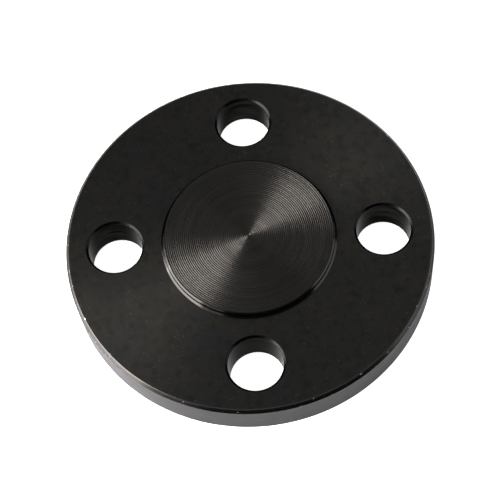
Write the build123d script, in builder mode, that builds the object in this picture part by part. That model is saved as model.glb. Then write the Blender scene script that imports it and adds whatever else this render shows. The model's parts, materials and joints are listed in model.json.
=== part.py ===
from build123d import *
import os

# Raised-face blind flange: one forged and machined steel disc that closes the end of a pipe.
# Frame: +Z points out of the gasket face, and the origin is the centre of the back face.
# All lengths are in millimetres and all angles in degrees.

# Driving dimensions
outside_diameter = 109.0
plate_thickness = 12.0  # where the bolts pass, so without the raised face
raised_face_height = 2.0
bolt_hole_diameter = 16.0
bolt_count = 4
first_hole_angle = 45.0  # the holes straddle the X and Y centrelines
rim_land = 6.8  # metal left between a bolt hole and the rim
gasket_land = 6.3  # plate left between a bolt hole and the raised face

# Machined edges
front_rim_chamfer = 0.9
back_rim_chamfer = 0.2
bolt_hole_chamfer = 0.6  # at both ends of each hole
raised_face_edge_bevel = 0.5
raised_face_foot_bevel = 0.6

# Sizes that follow
bolt_circle_diameter = outside_diameter - bolt_hole_diameter - 2 * rim_land
raised_face_diameter = bolt_circle_diameter - bolt_hole_diameter - 2 * gasket_land
gasket_face_height = plate_thickness + raised_face_height


def circles_of_diameter(part, diameter):
    """The circular edges of one diameter, from the lowest to the highest."""
    circles = part.edges().filter_by(GeomType.CIRCLE)
    return circles.filter_by(lambda edge: abs(edge.radius - diameter / 2) < 1e-6).sort_by(Axis.Z)


with BuildPart() as blind_flange:
    # Forged plate, turned on the lathe
    with BuildSketch(Plane.XY):
        Circle(outside_diameter / 2)
    extrude(amount=plate_thickness)
    chamfer(circles_of_diameter(blind_flange, outside_diameter)[0], back_rim_chamfer)
    chamfer(circles_of_diameter(blind_flange, outside_diameter)[-1], front_rim_chamfer)

    # Raised gasket face, with its edge broken and a small slope left at its foot
    with BuildSketch(Plane.XY.offset(plate_thickness)):
        Circle(raised_face_diameter / 2)
    extrude(amount=raised_face_height)
    chamfer(circles_of_diameter(blind_flange, raised_face_diameter)[-1], raised_face_edge_bevel)
    chamfer(circles_of_diameter(blind_flange, raised_face_diameter)[0], raised_face_foot_bevel)

    # Drilled bolt holes, chamfered on both faces
    with PolarLocations(bolt_circle_diameter / 2, bolt_count, start_angle=first_hole_angle):
        Hole(bolt_hole_diameter / 2)
    chamfer(circles_of_diameter(blind_flange, bolt_hole_diameter), bolt_hole_chamfer)

blind_flange.part.label = "blind_flange"

os.makedirs("parts", exist_ok=True)
export_step(blind_flange.part, "parts/blind_flange.step")
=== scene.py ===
import json
import math

import bmesh
import bpy
from mathutils import Matrix, Vector


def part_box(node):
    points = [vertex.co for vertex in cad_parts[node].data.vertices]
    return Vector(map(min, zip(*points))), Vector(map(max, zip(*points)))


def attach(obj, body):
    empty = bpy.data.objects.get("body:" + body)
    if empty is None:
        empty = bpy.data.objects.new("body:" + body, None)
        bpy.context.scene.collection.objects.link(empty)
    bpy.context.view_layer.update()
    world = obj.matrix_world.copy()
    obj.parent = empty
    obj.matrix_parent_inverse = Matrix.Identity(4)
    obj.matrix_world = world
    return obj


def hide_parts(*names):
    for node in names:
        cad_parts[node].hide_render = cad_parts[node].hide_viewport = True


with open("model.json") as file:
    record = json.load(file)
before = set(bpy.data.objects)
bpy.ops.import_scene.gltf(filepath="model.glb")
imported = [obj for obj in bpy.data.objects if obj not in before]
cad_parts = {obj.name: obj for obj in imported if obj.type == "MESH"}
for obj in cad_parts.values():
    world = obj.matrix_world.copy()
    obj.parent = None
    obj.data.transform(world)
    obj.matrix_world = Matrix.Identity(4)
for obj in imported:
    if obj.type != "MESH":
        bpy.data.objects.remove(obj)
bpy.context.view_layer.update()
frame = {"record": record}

# ------------------------------------------------------------------ sizes, in metres and radians
MM = 0.001
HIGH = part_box("blind_flange")[1]
BOLT_HOLES = next(m for m in frame["record"]["mounts"] if m["name"] == "bolt_holes")["dims"]

OUTSIDE_RADIUS = HIGH.x
GASKET_FACE_HEIGHT = HIGH.z
RAISED_FACE_HEIGHT = 2.0 * MM
PLATE_HEIGHT = GASKET_FACE_HEIGHT - RAISED_FACE_HEIGHT
RAISED_FACE_RADIUS = 25.4 * MM
BOLT_COUNT = BOLT_HOLES["count"]
BOLT_CIRCLE_RADIUS = BOLT_HOLES["pcd_mm"] / 2 * MM
BOLT_HOLE_RADIUS = BOLT_HOLES["hole_r_mm"] * MM
FIRST_HOLE_ANGLE = math.radians(45)

FRONT_RIM_CHAMFER = 0.9 * MM
BACK_RIM_CHAMFER = 0.2 * MM
BOLT_HOLE_CHAMFER = 0.6 * MM
EDGE_BEVEL = 0.50 * MM  # the raised face's edge
FOOT_BEVEL = 0.60 * MM  # the sloping foot that the tool leaves at the bottom of its wall
WALL_CORNER = 0.20 * MM  # the radius from either bevel into the wall
BURNISHED_CORNER = 0.12 * MM  # the radius that handling leaves on a chamfer's corners
WORN_CORNER = 0.30 * MM  # the same on the rim's front corner, which is handled most
SMALL_CORNER = 0.05 * MM  # the same on the small back chamfer
GUARD = 0.03 * MM  # from a rounded corner to the next point, so that the flat beside it shades flat

GROOVE_COUNT = 43
GROOVE_DEPTH = 0.12 * MM  # on average: each cut bites a little more or less
GROOVE_DEPTH_SPREAD = 0.5  # from the shallowest to the deepest, as a share of the average
GROOVE_SEED = 4
POINTS_PER_GROOVE = 4
GASKET_FACE_LAND = 0.10 * MM  # left smooth inside the raised face's edge
GROOVE_PITCH = (RAISED_FACE_RADIUS - EDGE_BEVEL - GASKET_FACE_LAND) / GROOVE_COUNT  # the lathe's feed

# Where one finish gives way to the next, just past a rounded corner
STEP_OUTER_RADIUS = RAISED_FACE_RADIUS + FOOT_BEVEL + BURNISHED_CORNER
FACE_OUTER_RADIUS = OUTSIDE_RADIUS - FRONT_RIM_CHAMFER - WORN_CORNER
RIM_TOP_HEIGHT = PLATE_HEIGHT - FRONT_RIM_CHAMFER - BURNISHED_CORNER
BACK_OUTER_RADIUS = OUTSIDE_RADIUS - BACK_RIM_CHAMFER - BURNISHED_CORNER
WORN_TO = OUTSIDE_RADIUS - FRONT_RIM_CHAMFER + 0.2 * MM  # bare steel shows from the plate out to here
HOLE_MOUTH_RADIUS = BOLT_HOLE_RADIUS + BOLT_HOLE_CHAMFER + BURNISHED_CORNER
HOLE_TOP_HEIGHT = PLATE_HEIGHT - BOLT_HOLE_CHAMFER - BURNISHED_CORNER

# The plate between these two radii is meshed as one sector for each bolt hole
INNER_JOINT_RADIUS = RAISED_FACE_RADIUS + 1.5 * MM
OUTER_JOINT_RADIUS = OUTSIDE_RADIUS - 2.5 * MM
STEPS_BETWEEN_BOLTS = 64
MERGE_DISTANCE = 0.0005 * MM


# ------------------------------------------------------------------ node trees
# These nodes repeat a socket's name for each data type, so their sockets are picked by number
MIX_VECTOR_A, MIX_VECTOR_B, MIX_VECTOR_RESULT = 4, 5, 1
MIX_COLOUR_A, MIX_COLOUR_B, MIX_COLOUR_RESULT = 6, 7, 2
RANDOM_FLOAT = 1


class Graph:
    """Writes one node tree. A value is a number or another node's output."""

    def __init__(self, tree):
        self.tree = tree

    def feed(self, socket, value):
        if isinstance(value, bpy.types.NodeSocket):
            self.tree.links.new(value, socket)
        else:
            socket.default_value = value

    def node(self, kind, values=None, **settings):
        made = self.tree.nodes.new(kind)
        for name, setting in settings.items():
            setattr(made, name, setting)
        for name, value in (values or {}).items():
            self.feed(made.inputs[name], value)
        return made

    def math(self, operation, *values):
        made = self.node("ShaderNodeMath", operation=operation)
        for socket, value in zip(made.inputs, values):
            self.feed(socket, value)
        return made.outputs[0]

    def vector_math(self, operation, *values):
        made = self.node("ShaderNodeVectorMath", operation=operation)
        for socket, value in zip(made.inputs, values):
            self.feed(socket, value)
        return made.outputs[0]

    def clamp(self, value):
        return self.node("ShaderNodeClamp", {"Value": value}).outputs[0]

    def blend(self, start, end, share):
        """start where share is 0, end where it is 1."""
        return self.math("MULTIPLY_ADD", self.math("SUBTRACT", end, start), share, start)

    def point(self, x, y, z):
        return self.node("ShaderNodeCombineXYZ", {"X": x, "Y": y, "Z": z}).outputs[0]

    def parts(self, vector):
        return self.node("ShaderNodeSeparateXYZ", {"Vector": vector}).outputs

    def polar(self, radius, angle, height):
        across = self.math("MULTIPLY", radius, self.math("COSINE", angle))
        along = self.math("MULTIPLY", radius, self.math("SINE", angle))
        return self.point(across, along, height)


# ------------------------------------------------------------------ profiles that the lathe and drill follow
def rounded(corners, steps):
    """Points along a profile of (radius, height, rounding) corners. A rounded corner becomes a small arc,
    with one more point on each side of it so that the flats beside it shade flat."""
    points = []
    for index, (radius, height, rounding) in enumerate(corners):
        corner = Vector((radius, height))
        if rounding == 0:
            points.append(corner)
            continue
        arriving = (corner - Vector(corners[index - 1][:2])).normalized()
        leaving = (Vector(corners[index + 1][:2]) - corner).normalized()
        turn = math.atan2(arriving.x * leaving.y - arriving.y * leaving.x, arriving.dot(leaving))
        reach = rounding * math.tan(abs(turn) / 2)
        start = corner - arriving * reach
        centre = start + math.copysign(rounding, turn) * Vector((-arriving.y, arriving.x))
        points.append(start - arriving * GUARD)
        for step in range(steps + 1):
            points.append(centre + Matrix.Rotation(turn * step / steps, 2) @ (start - centre))
        points.append(corner + leaving * (reach + GUARD))
    return points


PROFILES = []  # the helper objects, removed once the flange is made


def profile(name, points):
    """A helper object whose vertices are the profile's points: x radius, y share of the way out, z height."""
    mesh = bpy.data.meshes.new(name)
    mesh.from_pydata(points, [], [])
    helper = bpy.data.objects.new(name, mesh)
    bpy.context.scene.collection.objects.link(helper)
    PROFILES.append(helper)
    return helper


def turned_profile(name, corners, steps=3):
    return profile(name, [(p.x, 0, p.y) for p in rounded(corners, steps)])


def step_profile():
    """From the last groove over the raised face's edge, down its wall and out to the plate."""
    return turned_profile("raised_face_step", [
        (GROOVE_COUNT * GROOVE_PITCH, GASKET_FACE_HEIGHT, 0),
        (RAISED_FACE_RADIUS - EDGE_BEVEL, GASKET_FACE_HEIGHT, BURNISHED_CORNER),
        (RAISED_FACE_RADIUS, GASKET_FACE_HEIGHT - EDGE_BEVEL, WALL_CORNER),
        (RAISED_FACE_RADIUS, PLATE_HEIGHT + FOOT_BEVEL, WALL_CORNER),
        (RAISED_FACE_RADIUS + FOOT_BEVEL, PLATE_HEIGHT, BURNISHED_CORNER),
        (STEP_OUTER_RADIUS, PLATE_HEIGHT, 0),
    ])


def inner_band_profile():
    """The strip of plate between the raised face's foot and the bolt holes' sectors."""
    return turned_profile("inner_band", [
        (STEP_OUTER_RADIUS, PLATE_HEIGHT, 0),
        (INNER_JOINT_RADIUS, PLATE_HEIGHT, 0),
    ])


def outer_band_profile():
    """The strip of plate between the bolt holes' sectors and the front chamfer."""
    return turned_profile("outer_band", [
        (OUTER_JOINT_RADIUS, PLATE_HEIGHT, 0),
        (FACE_OUTER_RADIUS, PLATE_HEIGHT, 0),
    ])


def front_chamfer_profile():
    return turned_profile("front_chamfer", [
        (FACE_OUTER_RADIUS, PLATE_HEIGHT, 0),
        (OUTSIDE_RADIUS - FRONT_RIM_CHAMFER, PLATE_HEIGHT, WORN_CORNER),
        (OUTSIDE_RADIUS, PLATE_HEIGHT - FRONT_RIM_CHAMFER, BURNISHED_CORNER),
        (OUTSIDE_RADIUS, RIM_TOP_HEIGHT, 0),
    ])


def rim_profile():
    """Down the rim and round the small back chamfer."""
    return turned_profile("rim", [
        (OUTSIDE_RADIUS, RIM_TOP_HEIGHT, 0),
        (OUTSIDE_RADIUS, BACK_RIM_CHAMFER, SMALL_CORNER),
        (OUTSIDE_RADIUS - BACK_RIM_CHAMFER, 0, SMALL_CORNER),
        (BACK_OUTER_RADIUS, 0, 0),
    ])


def back_band_profile():
    return turned_profile("back_band", [(BACK_OUTER_RADIUS, 0, 0), (OUTER_JOINT_RADIUS, 0, 0)])


def back_profile():
    """The back face, inside the bolt holes."""
    rings = 6
    radii = [INNER_JOINT_RADIUS * (1 - ring / rings) for ring in range(rings + 1)]
    return profile("back_face", [(radius, 0, 0) for radius in radii])


def hole_chamfer_profile():
    return turned_profile("hole_chamfer", [
        (HOLE_MOUTH_RADIUS, PLATE_HEIGHT, 0),
        (BOLT_HOLE_RADIUS + BOLT_HOLE_CHAMFER, PLATE_HEIGHT, BURNISHED_CORNER),
        (BOLT_HOLE_RADIUS, PLATE_HEIGHT - BOLT_HOLE_CHAMFER, BURNISHED_CORNER),
        (BOLT_HOLE_RADIUS, HOLE_TOP_HEIGHT, 0),
    ])


def bore_profile():
    """Down a bolt hole's wall and out over the chamfer at the back."""
    return turned_profile("bore", [
        (BOLT_HOLE_RADIUS, HOLE_TOP_HEIGHT, 0),
        (BOLT_HOLE_RADIUS, BOLT_HOLE_CHAMFER, BURNISHED_CORNER),
        (BOLT_HOLE_RADIUS + BOLT_HOLE_CHAMFER, 0, BURNISHED_CORNER),
        (HOLE_MOUTH_RADIUS, 0, 0),
    ])


def sector_face_profile(name, height, shares):
    """The flat plate round a bolt hole, from its sector's edge (share 1) to the hole's mouth (share 0)."""
    return profile(name, [(HOLE_MOUTH_RADIUS, share, height) for share in shares])


# ------------------------------------------------------------------ the flange's surfaces, as geometry nodes
def numbered_grid(graph, columns, rows):
    """A flat grid with the column and row number of each of its points. Half a point is added before the
    division, so that rounding can't put a column's first point in the column before it."""
    grid = graph.node("GeometryNodeMeshGrid", {"Vertices X": columns, "Vertices Y": rows}).outputs["Mesh"]
    index = graph.node("GeometryNodeInputIndex").outputs[0]
    column = graph.math("FLOOR", graph.math("DIVIDE", graph.math("ADD", index, 0.5), rows))
    row = graph.math("SUBTRACT", index, graph.math("MULTIPLY", column, rows))
    return grid, column, row


def station(graph, helper, row):
    """Radius, share and height of the profile's point with that row number."""
    points = graph.node("GeometryNodeObjectInfo", {"Object": helper}, transform_space="ORIGINAL")
    place = graph.node("GeometryNodeInputPosition").outputs[0]
    picked = graph.node(
        "GeometryNodeSampleIndex",
        {"Geometry": points.outputs["Geometry"], "Value": place, "Index": row},
        data_type="FLOAT_VECTOR",
    )
    return graph.parts(picked.outputs[0])


def placed(graph, grid, position, material, smooth=True):
    moved = graph.node("GeometryNodeSetPosition", {"Geometry": grid, "Position": position}).outputs[0]
    shaded = graph.node("GeometryNodeSetShadeSmooth", {"Geometry": moved, "Shade Smooth": smooth}).outputs[0]
    return graph.node("GeometryNodeSetMaterial", {"Geometry": shaded, "Material": material}).outputs[0]


def turned(graph, steps, helper, material):
    """A profile turned once round the flange's axis."""
    grid, column, row = numbered_grid(graph, graph.math("ADD", steps, 1), len(helper.data.vertices))
    radius, _, height = station(graph, helper, row)
    angle = graph.math("DIVIDE", graph.math("MULTIPLY", column, math.tau), steps)
    return placed(graph, grid, graph.polar(radius, angle, height), material)


def grooved(graph, steps, sizes, material):
    """The gasket face: round-bottomed grooves with sharp crests, side by side from the centre out."""
    rows = GROOVE_COUNT * POINTS_PER_GROOVE + 1
    grid, column, row = numbered_grid(graph, graph.math("ADD", steps, 1), rows)
    groove = graph.math("DIVIDE", row, POINTS_PER_GROOVE)
    radius = graph.math("MULTIPLY", groove, sizes["Groove pitch"])
    from_middle = graph.math("SUBTRACT", graph.math("MULTIPLY", graph.math("FRACT", groove), 2), 1)
    cut = graph.math("SUBTRACT", 1, graph.math("MULTIPLY", from_middle, from_middle))
    nudge = 0.01  # so that rounding can't put a crest in the groove before it
    number = graph.math("FLOOR", graph.math("ADD", groove, nudge))
    bite = graph.node("FunctionNodeRandomValue", {"ID": number, "Seed": GROOVE_SEED}, data_type="FLOAT")
    shallowest = 1 - GROOVE_DEPTH_SPREAD / 2
    share = graph.math("MULTIPLY_ADD", bite.outputs[RANDOM_FLOAT], GROOVE_DEPTH_SPREAD, shallowest)
    depth = graph.math("MULTIPLY", share, sizes["Groove depth"])
    height = graph.math("SUBTRACT", sizes["Gasket face height"], graph.math("MULTIPLY", cut, depth))
    angle = graph.math("DIVIDE", graph.math("MULTIPLY", column, math.tau), steps)
    return placed(graph, grid, graph.polar(radius, angle, height), material, smooth=False)


def drilled(graph, sizes, helper, material):
    """One bolt hole's surface, or the plate round it out to the edge of its sector.
    The columns go round the sector's edge: inner arc, one side, outer arc, other side."""
    steps = sizes["Steps between bolts"]
    columns = graph.math("ADD", graph.math("MULTIPLY", steps, 4), 1)
    grid, column, row = numbered_grid(graph, columns, len(helper.data.vertices))
    ring_radius, share, height = station(graph, helper, row)
    travel = graph.math("DIVIDE", column, steps)
    inner_arc, one_side, outer_arc, other_side = (
        graph.clamp(graph.math("SUBTRACT", travel, side)) for side in range(4)
    )
    sector_angle = graph.math("DIVIDE", math.tau, sizes["Bolt count"])
    swing = graph.math("SUBTRACT", graph.math("SUBTRACT", inner_arc, outer_arc), 0.5)
    angle = graph.math("MULTIPLY", swing, sector_angle)
    radius = graph.blend(INNER_JOINT_RADIUS, OUTER_JOINT_RADIUS, graph.math("SUBTRACT", one_side, other_side))
    on_edge = graph.polar(radius, angle, 0)
    axis = graph.point(sizes["Bolt circle radius"], 0, 0)
    outward = graph.vector_math("NORMALIZE", graph.vector_math("SUBTRACT", on_edge, axis))
    ring_x, ring_y, _ = graph.parts(outward)
    on_ring = graph.point(
        graph.math("MULTIPLY_ADD", ring_x, ring_radius, sizes["Bolt circle radius"]),
        graph.math("MULTIPLY", ring_y, ring_radius),
        0,
    )
    flat = graph.node("ShaderNodeMix", {"Factor": share}, data_type="VECTOR")
    graph.feed(flat.inputs[MIX_VECTOR_A], on_ring)
    graph.feed(flat.inputs[MIX_VECTOR_B], on_edge)
    x, y, _ = graph.parts(flat.outputs[MIX_VECTOR_RESULT])
    return placed(graph, grid, graph.point(x, y, height), material)


def repeated_round(graph, sizes, geometry):
    """One copy of a bolt hole's sector for each bolt."""
    points = graph.node("GeometryNodePoints", {"Count": sizes["Bolt count"]}).outputs[0]
    index = graph.node("GeometryNodeInputIndex").outputs[0]
    between = graph.math("DIVIDE", math.tau, sizes["Bolt count"])
    turn = graph.math("MULTIPLY_ADD", index, between, sizes["First hole angle"])
    copies = graph.node(
        "GeometryNodeInstanceOnPoints",
        {"Points": points, "Instance": geometry, "Rotation": graph.point(0, 0, turn)},
    )
    return graph.node("GeometryNodeRealizeInstances", {"Geometry": copies.outputs[0]}).outputs[0]


def flange_tree(sizes, materials):
    """The whole machined surface. sizes gives the named inputs and their values."""
    tree = bpy.data.node_groups.new("Machined flange", "GeometryNodeTree")
    tree.interface.new_socket("Geometry", in_out="OUTPUT", socket_type="NodeSocketGeometry")
    for name, value in sizes.items():
        kind = "NodeSocketInt" if isinstance(value, int) else "NodeSocketFloat"
        tree.interface.new_socket(name, in_out="INPUT", socket_type=kind)
    graph = Graph(tree)
    given = graph.node("NodeGroupInput").outputs
    steps = graph.math("MULTIPLY", given["Steps between bolts"], given["Bolt count"])
    shares = (1, 0.7, 0.4, 0.15, 0)  # rings of points, closer together near the hole
    front = sector_face_profile("front_sector", PLATE_HEIGHT, shares)
    back = sector_face_profile("back_sector", 0, shares[::-1])
    mouth = hole_chamfer_profile()
    join = graph.node("GeometryNodeJoinGeometry")
    for surface in (
        grooved(graph, steps, given, materials["gasket_face"]),
        turned(graph, steps, step_profile(), materials["step"]),
        turned(graph, steps, inner_band_profile(), materials["plate"]),
        turned(graph, steps, outer_band_profile(), materials["plate"]),
        turned(graph, steps, front_chamfer_profile(), materials["chamfer"]),
        turned(graph, steps, rim_profile(), materials["rim"]),
        turned(graph, steps, back_band_profile(), materials["back"]),
        turned(graph, steps, back_profile(), materials["back"]),
        repeated_round(graph, given, drilled(graph, given, front, materials["plate"])),
        repeated_round(graph, given, drilled(graph, given, mouth, materials["hole_chamfer"])),
        repeated_round(graph, given, drilled(graph, given, bore_profile(), materials["bore"])),
        repeated_round(graph, given, drilled(graph, given, back, materials["back"])),
    ):
        tree.links.new(surface, join.inputs[0])
    joined = {"Geometry": join.outputs[0], "Distance": MERGE_DISTANCE}
    merged = graph.node("GeometryNodeMergeByDistance", joined)
    tree.links.new(merged.outputs[0], graph.node("NodeGroupOutput").inputs[0])
    return tree


def machined_flange(materials):
    """The flange as one closed mesh, made from the tree and then freed of it."""
    sizes = {
        "Steps between bolts": STEPS_BETWEEN_BOLTS,
        "Bolt count": BOLT_COUNT,
        "Bolt circle radius": BOLT_CIRCLE_RADIUS,
        "First hole angle": FIRST_HOLE_ANGLE,
        "Groove pitch": GROOVE_PITCH,
        "Groove depth": GROOVE_DEPTH,
        "Gasket face height": GASKET_FACE_HEIGHT,
    }
    tree = flange_tree(sizes, materials)
    blank = bpy.data.objects.new("flange_blank", bpy.data.meshes.new("flange_blank"))
    bpy.context.scene.collection.objects.link(blank)
    modifier = blank.modifiers.new("Machining", "NODES")
    modifier.node_group = tree
    for item in tree.interface.items_tree:
        if item.in_out == "INPUT":
            modifier[item.identifier] = sizes[item.name]
    evaluated = blank.evaluated_get(bpy.context.evaluated_depsgraph_get())
    mesh = bpy.data.meshes.new_from_object(evaluated)
    mesh.name = "machined_flange"
    for helper in [blank, *PROFILES]:
        bpy.data.objects.remove(helper)
    flange = bpy.data.objects.new("machined_flange", mesh)
    bpy.context.scene.collection.objects.link(flange)
    face_outwards(mesh)
    return flange


def face_outwards(mesh):
    """Turns every face of the closed mesh to point out of the steel."""
    shape = bmesh.new()
    shape.from_mesh(mesh)
    bmesh.ops.recalc_face_normals(shape, faces=shape.faces)
    shape.to_mesh(mesh)
    shape.free()


# ------------------------------------------------------------------ finishes
ACROSS_THE_MARKS = 0.25  # of a turn, so that highlights stretch across concentric tool marks
HOLE_SLICE_X, HOLE_SLICE_Y = 3, 7  # how far apart the four holes' slices of one pattern lie
BLACK_OXIDE = (0.0245, 0.0245, 0.0235)
BROWN_OXIDE = (0.0290, 0.0270, 0.0235)
BLUE_OXIDE = (0.0235, 0.0245, 0.0260)
OILED_BLACK = (0.0185, 0.0185, 0.0175)
PIT_BLACK = (0.008, 0.008, 0.008)
RUBBED_STEEL = (0.17, 0.165, 0.16)
BARE_STEEL = (0.32, 0.31, 0.30)


class Finish(Graph):
    """One material of blackened steel, with the patterns that the flange's finishes share.
    Patterns run from 0 to 1, lie in the object's own coordinates, and have their sizes in metres."""

    def __init__(self, name):
        self.material = bpy.data.materials.new(name)
        self.material.use_nodes = True
        super().__init__(self.material.node_tree)
        self.shader = self.tree.nodes["Principled BSDF"]
        self.shader.inputs["Metallic"].default_value = 1
        self.place = self.node("ShaderNodeTexCoord").outputs["Object"]
        self.x, self.y, self.z = self.parts(self.place)
        square = self.math("MULTIPLY_ADD", self.x, self.x, self.math("MULTIPLY", self.y, self.y))
        self.radius = self.math("SQRT", square)
        self.heading = self.vector_math("NORMALIZE", self.point(self.x, self.y, 0))

    def noise(self, vector, scale, detail, seed):
        made = self.node(
            "ShaderNodeTexNoise",
            {"Vector": vector, "Scale": scale, "Detail": detail, "W": seed},
            noise_dimensions="4D",
        )
        return made.outputs[0]

    def clouds(self, size, detail, seed):
        """Soft blotches."""
        return self.noise(self.place, 1 / size, detail, seed)

    def turning_marks(self, width, bends, detail, seed):
        """Concentric marks of the lathe tool. They change along their length about `bends` times a turn."""
        across = self.math("DIVIDE", self.radius, width)
        heading_x, heading_y, _ = self.parts(self.heading)
        along_x = self.math("MULTIPLY", heading_x, bends)
        along_y = self.math("MULTIPLY", heading_y, bends)
        return self.noise(self.point(across, along_x, along_y), scale=1, detail=detail, seed=seed)

    def round_the_hole(self, bends, width, detail, seed):
        """Marks that a drill leaves round its own hole. They change along their length about `bends` times
        a turn. The four holes share one pattern, folded over both axes, and each takes its own slice."""
        middle = BOLT_CIRCLE_RADIUS * math.cos(FIRST_HOLE_ANGLE)
        from_axis = self.point(
            self.math("SUBTRACT", self.math("ABSOLUTE", self.x), middle),
            self.math("SUBTRACT", self.math("ABSOLUTE", self.y), middle),
            0,
        )
        heading_x, heading_y, _ = self.parts(self.vector_math("NORMALIZE", from_axis))
        slice_x = self.math("MULTIPLY_ADD", self.math("SIGN", self.x), HOLE_SLICE_X, seed)
        hole_slice = self.math("MULTIPLY_ADD", self.math("SIGN", self.y), HOLE_SLICE_Y, slice_x)
        return self.noise(
            self.point(
                self.math("MULTIPLY", heading_x, bends),
                self.math("MULTIPLY", heading_y, bends),
                self.math("DIVIDE", self.z, width),
            ),
            scale=1, detail=detail, seed=hole_slice,
        )

    def scratches(self, angle, length, width, seed):
        """Thin straight scratches in one direction, few and scattered."""
        swing = {"Vector": self.place, "Angle": angle}
        swung = self.node("ShaderNodeVectorRotate", swing, rotation_type="Z_AXIS").outputs[0]
        stretched = self.vector_math("MULTIPLY", swung, (1 / length, 1 / width, 1 / width))
        streaks = self.noise(stretched, scale=1, detail=1, seed=seed)
        return self.above(streaks, start=0.68, full=0.74)

    def above(self, value, start, full):
        """0 at start and before it, 1 from full on, and a smooth ramp between. Start may be the larger."""
        made = self.node(
            "ShaderNodeMapRange",
            {"Value": value, "From Min": start, "From Max": full},
            interpolation_type="SMOOTHSTEP",
        )
        return made.outputs[0]

    def mix(self, share, start, end):
        made = self.node("ShaderNodeMix", {"Factor": share}, data_type="RGBA")
        for socket, colour in ((MIX_COLOUR_A, start), (MIX_COLOUR_B, end)):
            given = colour if isinstance(colour, bpy.types.NodeSocket) else (*colour, 1)
            self.feed(made.inputs[socket], given)
        return made.outputs[MIX_COLOUR_RESULT]

    def varied(self, middle, *changes):
        """A number plus changes, each a (pattern, swing) pair that moves it by half the swing each way."""
        value = middle
        for pattern, swing in changes:
            value = self.math("ADD", value, self.math("MULTIPLY_ADD", pattern, swing, -swing / 2))
        return value

    def relief(self, *layers):
        """Bumps laid one on another, each a (pattern, height) pair."""
        normal = None
        for pattern, height in layers:
            bump = self.node("ShaderNodeBump", {"Height": pattern, "Distance": height})
            if normal:
                self.feed(bump.inputs["Normal"], normal)
            normal = bump.outputs[0]
        return normal

    def finish(self, colour, roughness, normal, edge_tint, anisotropy=0.0):
        inputs = self.shader.inputs
        self.feed(inputs["Base Color"], colour)
        self.feed(inputs["Roughness"], roughness)
        self.feed(inputs["Normal"], normal)
        inputs["Specular Tint"].default_value = (edge_tint, edge_tint, edge_tint, 1)
        if anisotropy:
            inputs["Anisotropic"].default_value = anisotropy
            inputs["Anisotropic Rotation"].default_value = ACROSS_THE_MARKS
            along_the_marks = self.node("ShaderNodeTangent", direction_type="RADIAL", axis="Z")
            self.feed(inputs["Tangent"], along_the_marks.outputs[0])
        return self.material


def oxide(finish, seed):
    """The blotched colour of hot black oxide: brown and blue clouds, darker where oil has stayed."""
    brown = finish.above(finish.clouds(size=11 * MM, detail=3, seed=seed), start=0.44, full=0.66)
    blue = finish.above(finish.clouds(size=8 * MM, detail=3, seed=seed + 1), start=0.50, full=0.70)
    oiled = finish.above(finish.clouds(size=2.5 * MM, detail=4, seed=seed + 2), start=0.45, full=0.75)
    colour = finish.mix(brown, BLACK_OXIDE, BROWN_OXIDE)
    colour = finish.mix(blue, colour, BLUE_OXIDE)
    return finish.mix(oiled, colour, OILED_BLACK)


def plate_finish():
    """The plate round the raised face: turned, blackened and handled."""
    finish = Finish("blackened_plate")
    marks = finish.turning_marks(width=0.30 * MM, bends=2.0, detail=2, seed=3)
    grain = finish.clouds(size=0.18 * MM, detail=2, seed=4)
    smears = finish.clouds(size=6 * MM, detail=4, seed=5)
    specks = finish.above(finish.clouds(size=0.55 * MM, detail=1, seed=6), start=0.72, full=0.78)
    pits = finish.above(finish.clouds(size=0.7 * MM, detail=1, seed=7), start=0.70, full=0.76)
    scratched = finish.math(
        "MAXIMUM",
        finish.scratches(angle=0.5, length=9 * MM, width=0.12 * MM, seed=8),
        finish.scratches(angle=2.1, length=6 * MM, width=0.10 * MM, seed=9),
    )
    colour = oxide(finish, 10)
    colour = finish.mix(finish.math("MULTIPLY", specks, 0.5), colour, RUBBED_STEEL)
    colour = finish.mix(finish.math("MULTIPLY", scratched, 0.25), colour, RUBBED_STEEL)
    colour = finish.mix(finish.math("MULTIPLY", pits, 0.7), colour, PIT_BLACK)
    roughness = finish.varied(0.34, (marks, 0.09), (grain, 0.07), (smears, 0.12))
    normal = finish.relief((marks, 0.0025 * MM), (grain, 0.004 * MM), (pits, -0.02 * MM))
    return finish.finish(colour, roughness, normal, edge_tint=0.45, anisotropy=0.77)


def gasket_face_finish():
    """The raised face: sharp concentric grooves that catch the light in two fans."""
    finish = Finish("serrated_gasket_face")
    fine_marks = finish.turning_marks(width=0.16 * MM, bends=1.2, detail=2, seed=20)
    groove_bands = finish.turning_marks(width=1.1 * MM, bends=0.8, detail=3, seed=21)
    grain = finish.clouds(size=0.2 * MM, detail=2, seed=22)
    smears = finish.clouds(size=5 * MM, detail=4, seed=23)
    scratched = finish.scratches(angle=2.6, length=8 * MM, width=0.13 * MM, seed=24)
    clean, smeared = (0.0315, 0.0307, 0.0292), (0.0270, 0.0267, 0.0258)
    burnished = (0.0390, 0.0375, 0.0360)
    colour = finish.mix(finish.above(smears, start=0.40, full=0.70), clean, smeared)
    colour = finish.mix(finish.above(groove_bands, start=0.30, full=0.75), colour, burnished)
    colour = finish.mix(finish.math("MULTIPLY", scratched, 0.7), colour, OILED_BLACK)
    roughness = finish.varied(0.38, (fine_marks, 0.08), (groove_bands, 0.06), (smears, 0.05))
    normal = finish.relief((fine_marks, 0.003 * MM), (grain, 0.002 * MM))
    return finish.finish(colour, roughness, normal, edge_tint=0.45, anisotropy=0.72)


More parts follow.
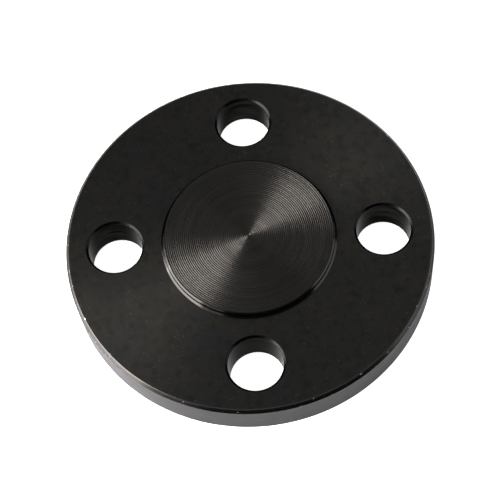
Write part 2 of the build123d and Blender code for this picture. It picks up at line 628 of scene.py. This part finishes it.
def step_finish():
    """The raised face's edge, wall and foot, turned bright by the tool before blackening."""
    finish = Finish("raised_face_step")
    marks = finish.turning_marks(width=0.25 * MM, bends=0.5, detail=1, seed=30)
    smears = finish.clouds(size=2 * MM, detail=3, seed=31)
    dark, pale = (0.018, 0.018, 0.018), (0.022, 0.0215, 0.021)
    colour = finish.mix(smears, dark, pale)
    roughness = finish.varied(0.15, (marks, 0.03), (smears, 0.02))
    normal = finish.relief((marks, 0.0004 * MM))
    return finish.finish(colour, roughness, normal, edge_tint=0.7)


def chamfer_finish():
    """The front chamfer, rubbed and nicked by handling."""
    finish = Finish("handled_chamfer")
    smears = finish.clouds(size=1.6 * MM, detail=4, seed=40)
    dents = finish.turning_marks(width=0.35 * MM, bends=36, detail=1, seed=41)
    nicks = finish.above(dents, start=0.69, full=0.75)
    grain = finish.clouds(size=0.15 * MM, detail=2, seed=42)
    ragged = 0.4 * MM  # how far the worn edge wanders
    wandering = finish.math("MULTIPLY_ADD", smears, ragged, finish.radius)
    bare = finish.above(wandering, start=WORN_TO + ragged, full=WORN_TO)
    dark, pale = (0.015, 0.015, 0.015), (0.024, 0.0235, 0.023)
    colour = finish.mix(smears, dark, pale)
    colour = finish.mix(finish.math("MULTIPLY", bare, 0.12), colour, RUBBED_STEEL)
    colour = finish.mix(nicks, colour, BARE_STEEL)
    roughness = finish.varied(0.24, (smears, 0.10), (grain, 0.05))
    normal = finish.relief((grain, 0.003 * MM), (nicks, -0.03 * MM))
    return finish.finish(colour, roughness, normal, edge_tint=0.8)


def rim_finish():
    """The rim: a fine satin turning with thin bands round it."""
    finish = Finish("satin_rim")
    bends = 3
    band_width = 0.35 * MM
    heading_x, heading_y, _ = finish.parts(finish.heading)
    bands = finish.noise(
        finish.point(
            finish.math("MULTIPLY", heading_x, bends),
            finish.math("MULTIPLY", heading_y, bends),
            finish.math("DIVIDE", finish.z, band_width),
        ),
        scale=1, detail=3, seed=50,
    )
    smears = finish.clouds(size=3.5 * MM, detail=4, seed=51)
    grain = finish.clouds(size=0.2 * MM, detail=2, seed=52)
    dark, pale = (0.036, 0.038, 0.043), (0.046, 0.047, 0.052)
    colour = finish.mix(smears, dark, pale)
    roughness = finish.varied(0.48, (bands, 0.06), (smears, 0.10))
    normal = finish.relief((bands, 0.0015 * MM), (grain, 0.0015 * MM))
    return finish.finish(colour, roughness, normal, edge_tint=1.0, anisotropy=0.85)


def hole_chamfer_finish():
    """The countersunk mouth of a bolt hole, with the tool's chatter round it."""
    finish = Finish("countersunk_mouth")
    chatter = finish.round_the_hole(bends=9.0, width=0.4 * MM, detail=2, seed=60)
    smears = finish.clouds(size=1.5 * MM, detail=3, seed=61)
    dark, pale = (0.003, 0.003, 0.003), (0.011, 0.0118, 0.0125)
    colour = finish.mix(chatter, dark, pale)
    roughness = finish.varied(0.27, (chatter, 0.12), (smears, 0.08))
    normal = finish.relief((chatter, 0.03 * MM))
    return finish.finish(colour, roughness, normal, edge_tint=0.7)


def shaded_bore_finish():
    """A bolt hole's wall as the drill left it, rough and ringed, and painted dark: its colour holds painted
    shade, as if the inside of the hole lay in shadow.
    """
    finish = Finish("drilled_bore")
    rings = finish.round_the_hole(bends=0.8, width=0.55 * MM, detail=3, seed=70)
    grain = finish.clouds(size=0.25 * MM, detail=3, seed=71)
    smears = finish.clouds(size=3 * MM, detail=3, seed=72)
    # The near-black groove colour is painted shade inside the hole, laid over real drill rings. The ridges
    # keep the oxide's own tone.
    groove, ridge = (0.002, 0.002, 0.002), (0.024, 0.024, 0.022)
    oil = (0.008, 0.007, 0.006)
    colour = finish.mix(finish.above(rings, start=0.35, full=0.65), groove, ridge)
    colour = finish.mix(finish.above(smears, start=0.55, full=0.7), colour, oil)
    roughness = finish.varied(0.22, (rings, 0.14), (grain, 0.06))
    normal = finish.relief((rings, 0.05 * MM), (grain, 0.004 * MM))
    return finish.finish(colour, roughness, normal, edge_tint=0.5)


def back_finish():
    """The back face: a coarser facing cut, dull, with the oxide worn where it has lain."""
    finish = Finish("faced_back")
    marks = finish.turning_marks(width=0.45 * MM, bends=1.0, detail=3, seed=80)
    grain = finish.clouds(size=0.25 * MM, detail=3, seed=81)
    rubbed = finish.above(finish.clouds(size=7 * MM, detail=5, seed=82), start=0.56, full=0.72)
    scratched = finish.math(
        "MAXIMUM",
        finish.scratches(angle=0.9, length=14 * MM, width=0.14 * MM, seed=83),
        finish.scratches(angle=2.4, length=10 * MM, width=0.12 * MM, seed=84),
    )
    colour = oxide(finish, 85)
    colour = finish.mix(finish.math("MULTIPLY", rubbed, 0.25), colour, RUBBED_STEEL)
    colour = finish.mix(finish.math("MULTIPLY", scratched, 0.5), colour, RUBBED_STEEL)
    roughness = finish.varied(0.42, (marks, 0.16), (grain, 0.08))
    normal = finish.relief((marks, 0.008 * MM), (grain, 0.004 * MM))
    return finish.finish(colour, roughness, normal, edge_tint=1.0, anisotropy=0.5)


# ------------------------------------------------------------------ the studio
CAMERA_AZIMUTH = math.radians(-40.635)
CAMERA_ELEVATION = math.radians(63.848)
CAMERA_ROLL = math.radians(-7.867)
CAMERA_DISTANCE = 451.0 * MM
AIM = Vector((-0.14, 0.12, 4.04)) * MM
LENS_MM = 108.4
SENSOR_MM = 36

FLOOR_HALF_WIDTH = 3.0
FLOOR_DROP = 0.05 * MM  # below the back face, so that the two don't share a plane
FLOOR_GLOW = 0.65  # as the flange sees it
FLOOR_GLOW_SEEN = 0.9  # as the camera sees it
HORIZON_GLOW = 0.10
OVERHEAD_GLOW = 0.75
GLOW_STARTS, GLOW_FULL = 0.50, 0.92  # heights in the sky, from 0 at the horizon to 1 overhead
BACKDROP_GLOW = 0.9
STUDIO_COLOUR = (1, 1, 0.985, 1)
KEY_COLOUR = (1, 0.94, 0.89)
FILL_COLOUR = (1, 1, 1)

SOFTBOXES = [  # name, azimuth and elevation in degrees, distance, size, radiance, colour
    ("key", 190, 25, 1.0, (0.8, 0.88), 21, KEY_COLOUR),
    ("key_side", 222, 24, 1.0, (0.42, 0.4), 2.0, KEY_COLOUR),
    ("upper_key", 245, 40, 1.2, (0.8, 0.24), 1.2, KEY_COLOUR),
    ("far_key", 155, 38, 1.0, (0.4, 0.5), 2.5, KEY_COLOUR),
    ("low_key", 163, 8, 1.0, (0.3, 0.22), 21, KEY_COLOUR),
    ("fill", 352, 14, 1.2, (1.0, 0.56), 2.6, FILL_COLOUR),
]


def toward(azimuth, elevation):
    """A direction seen from the flange. Azimuth runs anticlockwise for the camera: 0 is its right,
    90 straight away from it, 180 its left and 270 towards it."""
    turn = math.radians(azimuth) + CAMERA_AZIMUTH
    rise = math.radians(elevation)
    return Vector((math.cos(turn) * math.cos(rise), math.sin(turn) * math.cos(rise), math.sin(rise)))


def looking(location, target, roll=0.0):
    """A placing matrix whose -Z axis looks from location at target."""
    back = (location - target).normalized()
    right = Vector((0, 0, 1)).cross(back).normalized()
    up = back.cross(right)
    axes = Matrix((right, up, back)).transposed().to_4x4()
    return Matrix.Translation(location) @ axes @ Matrix.Rotation(roll, 4, "Z")


def add_camera():
    data = bpy.data.cameras.new("camera")
    data.lens = LENS_MM
    data.sensor_width = SENSOR_MM
    data.clip_start = 10 * MM
    camera = bpy.data.objects.new("camera", data)
    bpy.context.scene.collection.objects.link(camera)
    location = AIM + toward(270, math.degrees(CAMERA_ELEVATION)) * CAMERA_DISTANCE
    camera.matrix_world = looking(location, AIM, CAMERA_ROLL)
    bpy.context.scene.camera = camera


def add_softbox(name, azimuth, elevation, distance, size, radiance, colour):
    """A rectangular lamp that faces the flange. Its power follows from how bright its face is to be."""
    width, height = size
    data = bpy.data.lights.new(name, "AREA")
    data.shape = "RECTANGLE"
    data.size = width
    data.size_y = height
    data.energy = radiance * math.pi * width * height
    data.color = colour
    lamp = bpy.data.objects.new(name, data)
    bpy.context.scene.collection.objects.link(lamp)
    lamp.matrix_world = looking(toward(azimuth, elevation) * distance, Vector((0, 0, 0)))


def add_floor():
    """A pale floor. It is lit from within too, most where it is seen, so that no shadow greys it.
    It is clear from below, so that the back face can be looked at."""
    half = FLOOR_HALF_WIDTH
    corners = [(x, y, -FLOOR_DROP) for x, y in ((-half, -half), (half, -half), (half, half), (-half, half))]
    mesh = bpy.data.meshes.new("floor")
    mesh.from_pydata(corners, [], [(0, 1, 2, 3)])
    floor = bpy.data.objects.new("floor", mesh)
    bpy.context.scene.collection.objects.link(floor)
    material = bpy.data.materials.new("floor")
    material.use_nodes = True
    shader = material.node_tree.nodes["Principled BSDF"]
    shader.inputs["Base Color"].default_value = (0.92, 0.92, 0.92, 1)
    shader.inputs["Roughness"].default_value = 0.9
    shader.inputs["Emission Color"].default_value = (1, 1, 1, 1)
    graph = Graph(material.node_tree)
    seen = graph.node("ShaderNodeLightPath").outputs["Is Camera Ray"]
    graph.feed(shader.inputs["Emission Strength"], graph.blend(FLOOR_GLOW, FLOOR_GLOW_SEEN, seen))
    clear = graph.node("ShaderNodeBsdfTransparent").outputs[0]
    underside = graph.node("ShaderNodeNewGeometry").outputs["Backfacing"]
    sides = graph.node("ShaderNodeMixShader", {0: underside, 1: shader.outputs[0], 2: clear})
    graph.feed(material.node_tree.nodes["Material Output"].inputs["Surface"], sides.outputs[0])
    mesh.materials.append(material)


def add_world():
    """A studio that is dim at the horizon and soft overhead. Its backdrop is pale to the camera."""
    world = bpy.data.worlds.new("studio")
    world.use_nodes = True
    graph = Graph(world.node_tree)
    background = world.node_tree.nodes["Background"]
    direction = graph.node("ShaderNodeTexCoord").outputs["Generated"]
    rise = graph.node(
        "ShaderNodeMapRange",
        {"Value": graph.parts(direction)[2], "From Min": GLOW_STARTS, "From Max": GLOW_FULL,
         "To Min": HORIZON_GLOW, "To Max": OVERHEAD_GLOW},
        interpolation_type="SMOOTHSTEP",
    ).outputs[0]
    seen = graph.node("ShaderNodeLightPath").outputs["Is Camera Ray"]
    graph.feed(background.inputs["Color"], STUDIO_COLOUR)
    graph.feed(background.inputs["Strength"], graph.blend(rise, BACKDROP_GLOW, seen))
    bpy.context.scene.world = world


add_camera()
add_floor()
add_world()
for softbox in SOFTBOXES:
    add_softbox(*softbox)
bpy.context.scene.view_settings.view_transform = "Standard"

flange = machined_flange({
    "gasket_face": gasket_face_finish(),
    "step": step_finish(),
    "plate": plate_finish(),
    "chamfer": chamfer_finish(),
    "rim": rim_finish(),
    "hole_chamfer": hole_chamfer_finish(),
    "bore": shaded_bore_finish(),
    "back": back_finish(),
})
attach(flange, "root")
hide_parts("blind_flange")
